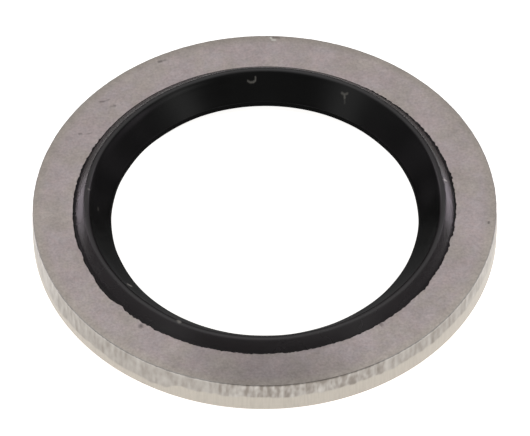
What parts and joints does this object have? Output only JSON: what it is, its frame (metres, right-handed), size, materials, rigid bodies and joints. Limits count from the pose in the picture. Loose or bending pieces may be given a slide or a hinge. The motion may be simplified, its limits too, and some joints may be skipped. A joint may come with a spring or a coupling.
{
  "type": "bonded sealing washer",
  "caption": "Flat steel ring with a black rubber seal bonded round its bore; the seal has a raised lip on each face.",
  "frame": {"origin": "centre of the bore, level with the lowest point of the lower sealing lip", "axes": "+Z along the bore, away from the surface that the washer lies on, towards the face with the burr"},
  "size_m": [0.013, 0.013, 0.0015],
  "materials": {
    "steel": "matt, tumbled blank with a dull plated skin",
    "rubber": "satin moulded black"
  },
  "bodies": {
    "root": {"steel_ring": "steel", "rubber_seal": "rubber"}
  },
  "joints": []
}
